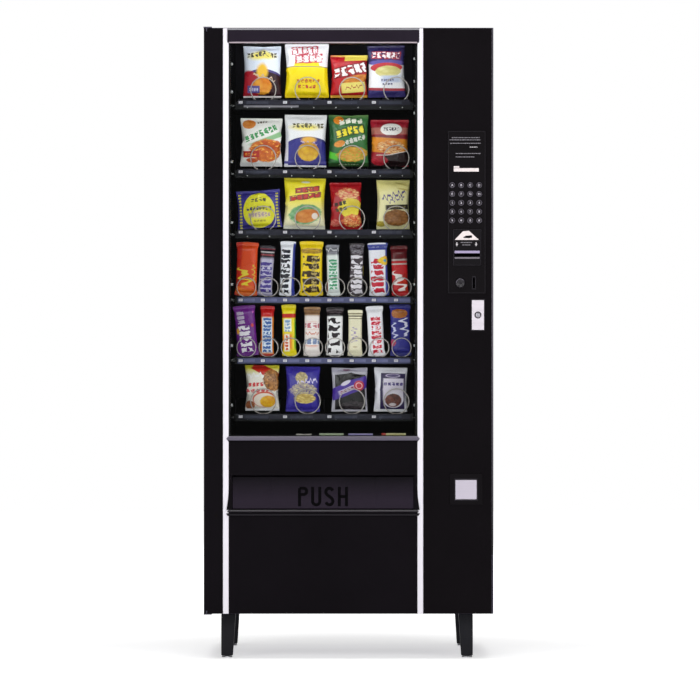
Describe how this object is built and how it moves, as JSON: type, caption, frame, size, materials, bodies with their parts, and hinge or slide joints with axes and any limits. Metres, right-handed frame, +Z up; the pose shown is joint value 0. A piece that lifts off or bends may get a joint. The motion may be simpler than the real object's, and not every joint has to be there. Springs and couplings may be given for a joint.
{
  "type": "snack vending machine",
  "caption": "Glass-front snack vending machine on four legs: hinged full-width door with push flap, keypad and lock handle, and sliding trays with turning wire coils.",
  "frame": {"origin": "on the floor under the middle of the bounding box", "axes": "+Z up, the front faces -Y, +X to the viewer's right"},
  "size_m": [0.84, 0.904, 1.829],
  "materials": {
    "cabinet_paint": "semi-gloss powder coat",
    "liner_paint": "gloss black paint",
    "leg_paint": "black paint",
    "door_paint": "satin black paint",
    "panel_plastic": "gloss black",
    "glass": "clear",
    "bright_trim": "satin anodised",
    "sill_metal": "satin anodised, grey",
    "bin_plastic": "matt black",
    "flap_plastic": "satin dark grey",
    "guard_steel": "brushed",
    "zinc": "zinc plate",
    "handle_chrome": "satin chrome",
    "key_plastic": "gloss dark grey",
    "tray_paint": "satin dark grey paint",
    "coil_steel": "bright wire"
  },
  "bodies": {
    "cabinet": {"cabinet_shell": "cabinet_paint", "inner_partition": "liner_paint", "liner_left": "liner_paint", "leg_front_left": "leg_paint", "leg_front_right": "leg_paint", "leg_rear_left": "leg_paint", "leg_rear_right": "leg_paint"},
    "door": {"door_frame": "door_paint", "window_glass": "glass", "header_panel": "panel_plastic", "left_trim": "bright_trim", "right_trim": "bright_trim", "window_sill": "sill_metal", "fascia_panel": "door_paint", "lower_panel": "door_paint", "delivery_bin": "bin_plastic", "control_panel": "door_paint", "selection_bezel": "panel_plastic", "bill_validator": "panel_plastic", "coin_cup": "panel_plastic"},
    "delivery_flap_body": {"delivery_flap": "flap_plastic"},
    "anti_theft_flap_body": {"anti_theft_flap": "guard_steel"},
    "handle_barrel_body": {"handle_barrel": "zinc"},
    "lock_handle_body": {"lock_handle": "handle_chrome"},
    "coin_cup_flap_body": {"coin_cup_flap": "guard_steel"},
    "coin_return_body": {"coin_return_button": "key_plastic"},
    "tray_1_body": {"tray_1": "tray_paint"},
    "tray_2_body": {"tray_2": "tray_paint"},
    "tray_3_body": {"tray_3": "tray_paint"},
    "tray_4_body": {"tray_4": "tray_paint"},
    "tray_5_body": {"tray_5": "tray_paint"},
    "tray_6_body": {"tray_6": "tray_paint"},
    "tray_7_body": {"tray_7": "tray_paint"},
    "coil_1_body": {"coil_1": "coil_steel"},
    "coil_2_body": {"coil_2": "coil_steel"},
    "coil_3_body": {"coil_3": "coil_steel"},
    "coil_4_body": {"coil_4": "coil_steel"},
    "coil_5_body": {"coil_5": "coil_steel"},
    "coil_6_body": {"coil_6": "coil_steel"},
    "coil_7_body": {"coil_7": "coil_steel"},
    "key_1_1_body": {"key_1_1": "key_plastic"},
    "key_1_2_body": {"key_1_2": "key_plastic"},
    "key_1_3_body": {"key_1_3": "key_plastic"},
    "key_1_4_body": {"key_1_4": "key_plastic"},
    "key_2_1_body": {"key_2_1": "key_plastic"},
    "key_2_2_body": {"key_2_2": "key_plastic"},
    "key_2_3_body": {"key_2_3": "key_plastic"},
    "key_2_4_body": {"key_2_4": "key_plastic"},
    "key_3_1_body": {"key_3_1": "key_plastic"},
    "key_3_2_body": {"key_3_2": "key_plastic"},
    "key_3_3_body": {"key_3_3": "key_plastic"},
    "key_3_4_body": {"key_3_4": "key_plastic"},
    "key_4_1_body": {"key_4_1": "key_plastic"},
    "key_4_2_body": {"key_4_2": "key_plastic"},
    "key_4_3_body": {"key_4_3": "key_plastic"},
    "key_4_4_body": {"key_4_4": "key_plastic"},
    "key_5_1_body": {"key_5_1": "key_plastic"},
    "key_5_2_body": {"key_5_2": "key_plastic"},
    "key_5_3_body": {"key_5_3": "key_plastic"},
    "key_5_4_body": {"key_5_4": "key_plastic"}
  },
  "joints": [
    {"name": "door_hinge", "type": "hinge", "parent": "cabinet", "child": "door", "pos_m": [-0.411, -0.433, 0.978], "axis": [0, 0, -1], "range_deg": [0, 120]},
    {"name": "delivery_flap_hinge", "type": "hinge", "parent": "door", "child": "delivery_flap_body", "pos_m": [-0.074, -0.432, 0.523], "axis": [1, 0, 0], "range_deg": [0, 70]},
    {"name": "anti_theft_flap_hinge", "type": "hinge", "parent": "door", "child": "anti_theft_flap_body", "pos_m": [-0.074, -0.27, 0.519], "axis": [-1, 0, 0], "range_deg": [0, 60]},
    {"name": "handle_pop_out", "type": "slide", "parent": "door", "child": "handle_barrel_body", "axis": [0, -1, 0], "range_m": [0, 0.015]},
    {"name": "handle_turn", "type": "hinge", "parent": "handle_barrel_body", "child": "lock_handle_body", "pos_m": [0.3737, -0.4446, 0.995], "axis": [0, -1, 0], "range_deg": [0, 90]},
    {"name": "coin_cup_flap_hinge", "type": "hinge", "parent": "door", "child": "coin_cup_flap_body", "pos_m": [0.3395, -0.44, 0.516], "axis": [1, 0, 0], "range_deg": [0, 60]},
    {"name": "coin_return_press", "type": "slide", "parent": "door", "child": "coin_return_body", "axis": [0, 1, 0], "range_m": [0, 0.005], "stiffness_N_per_m": 400},
    {"name": "tray_1_slide", "type": "slide", "parent": "cabinet", "child": "tray_1_body", "axis": [0, -1, 0], "range_m": [0, 0.085]},
    {"name": "tray_2_slide", "type": "slide", "parent": "cabinet", "child": "tray_2_body", "axis": [0, -1, 0], "range_m": [0, 0.085]},
    {"name": "tray_3_slide", "type": "slide", "parent": "cabinet", "child": "tray_3_body", "axis": [0, -1, 0], "range_m": [0, 0.085]},
    {"name": "tray_4_slide", "type": "slide", "parent": "cabinet", "child": "tray_4_body", "axis": [0, -1, 0], "range_m": [0, 0.085]},
    {"name": "tray_5_slide", "type": "slide", "parent": "cabinet", "child": "tray_5_body", "axis": [0, -1, 0], "range_m": [0, 0.085]},
    {"name": "tray_6_slide", "type": "slide", "parent": "cabinet", "child": "tray_6_body", "axis": [0, -1, 0], "range_m": [0, 0.085]},
    {"name": "tray_7_slide", "type": "slide", "parent": "cabinet", "child": "tray_7_body", "axis": [0, -1, 0], "range_m": [0, 0.085]},
    {"name": "coil_1_turn", "type": "hinge", "parent": "tray_1_body", "child": "coil_1_body", "pos_m": [-0.24925, -0.279, 1.653], "axis": [0, 1, 0], "continuous": true},
    {"name": "coil_2_turn", "type": "hinge", "parent": "tray_2_body", "child": "coil_2_body", "pos_m": [-0.24925, -0.279, 1.454], "axis": [0, 1, 0], "continuous": true},
    {"name": "coil_3_turn", "type": "hinge", "parent": "tray_3_body", "child": "coil_3_body", "pos_m": [-0.24925, -0.279, 1.277], "axis": [0, 1, 0], "continuous": true},
    {"name": "coil_4_turn", "type": "hinge", "parent": "tray_4_body", "child": "coil_4_body", "pos_m": [-0.29862, -0.279, 1.077], "axis": [0, 1, 0], "continuous": true},
    {"name": "coil_5_turn", "type": "hinge", "parent": "tray_5_body", "child": "coil_5_body", "pos_m": [-0.29862, -0.279, 0.901], "axis": [0, 1, 0], "continuous": true},
    {"name": "coil_6_turn", "type": "hinge", "parent": "tray_6_body", "child": "coil_6_body", "pos_m": [-0.24925, -0.279, 0.744], "axis": [0, 1, 0], "continuous": true},
    {"name": "coil_7_turn", "type": "hinge", "parent": "tray_7_body", "child": "coil_7_body", "pos_m": [-0.24925, -0.279, 0.589], "axis": [0, 1, 0], "continuous": true},
    {"name": "key_1_1_press", "type": "slide", "parent": "door", "child": "key_1_1_body", "axis": [0, 1, 0], "range_m": [0, 0.0015], "stiffness_N_per_m": 500},
    {"name": "key_1_2_press", "type": "slide", "parent": "door", "child": "key_1_2_body", "axis": [0, 1, 0], "range_m": [0, 0.0015], "stiffness_N_per_m": 500},
    {"name": "key_1_3_press", "type": "slide", "parent": "door", "child": "key_1_3_body", "axis": [0, 1, 0], "range_m": [0, 0.0015], "stiffness_N_per_m": 500},
    {"name": "key_1_4_press", "type": "slide", "parent": "door", "child": "key_1_4_body", "axis": [0, 1, 0], "range_m": [0, 0.0015], "stiffness_N_per_m": 500},
    {"name": "key_2_1_press", "type": "slide", "parent": "door", "child": "key_2_1_body", "axis": [0, 1, 0], "range_m": [0, 0.0015], "stiffness_N_per_m": 500},
    {"name": "key_2_2_press", "type": "slide", "parent": "door", "child": "key_2_2_body", "axis": [0, 1, 0], "range_m": [0, 0.0015], "stiffness_N_per_m": 500},
    {"name": "key_2_3_press", "type": "slide", "parent": "door", "child": "key_2_3_body", "axis": [0, 1, 0], "range_m": [0, 0.0015], "stiffness_N_per_m": 500},
    {"name": "key_2_4_press", "type": "slide", "parent": "door", "child": "key_2_4_body", "axis": [0, 1, 0], "range_m": [0, 0.0015], "stiffness_N_per_m": 500},
    {"name": "key_3_1_press", "type": "slide", "parent": "door", "child": "key_3_1_body", "axis": [0, 1, 0], "range_m": [0, 0.0015], "stiffness_N_per_m": 500},
    {"name": "key_3_2_press", "type": "slide", "parent": "door", "child": "key_3_2_body", "axis": [0, 1, 0], "range_m": [0, 0.0015], "stiffness_N_per_m": 500},
    {"name": "key_3_3_press", "type": "slide", "parent": "door", "child": "key_3_3_body", "axis": [0, 1, 0], "range_m": [0, 0.0015], "stiffness_N_per_m": 500},
    {"name": "key_3_4_press", "type": "slide", "parent": "door", "child": "key_3_4_body", "axis": [0, 1, 0], "range_m": [0, 0.0015], "stiffness_N_per_m": 500},
    {"name": "key_4_1_press", "type": "slide", "parent": "door", "child": "key_4_1_body", "axis": [0, 1, 0], "range_m": [0, 0.0015], "stiffness_N_per_m": 500},
    {"name": "key_4_2_press", "type": "slide", "parent": "door", "child": "key_4_2_body", "axis": [0, 1, 0], "range_m": [0, 0.0015], "stiffness_N_per_m": 500},
    {"name": "key_4_3_press", "type": "slide", "parent": "door", "child": "key_4_3_body", "axis": [0, 1, 0], "range_m": [0, 0.0015], "stiffness_N_per_m": 500},
    {"name": "key_4_4_press", "type": "slide", "parent": "door", "child": "key_4_4_body", "axis": [0, 1, 0], "range_m": [0, 0.0015], "stiffness_N_per_m": 500},
    {"name": "key_5_1_press", "type": "slide", "parent": "door", "child": "key_5_1_body", "axis": [0, 1, 0], "range_m": [0, 0.0015], "stiffness_N_per_m": 500},
    {"name": "key_5_2_press", "type": "slide", "parent": "door", "child": "key_5_2_body", "axis": [0, 1, 0], "range_m": [0, 0.0015], "stiffness_N_per_m": 500},
    {"name": "key_5_3_press", "type": "slide", "parent": "door", "child": "key_5_3_body", "axis": [0, 1, 0], "range_m": [0, 0.0015], "stiffness_N_per_m": 500},
    {"name": "key_5_4_press", "type": "slide", "parent": "door", "child": "key_5_4_body", "axis": [0, 1, 0], "range_m": [0, 0.0015], "stiffness_N_per_m": 500}
  ],
  "couplings": [
    {"joint": "anti_theft_flap_hinge", "follows": "delivery_flap_hinge", "ratio": 0.8571}
  ]
}
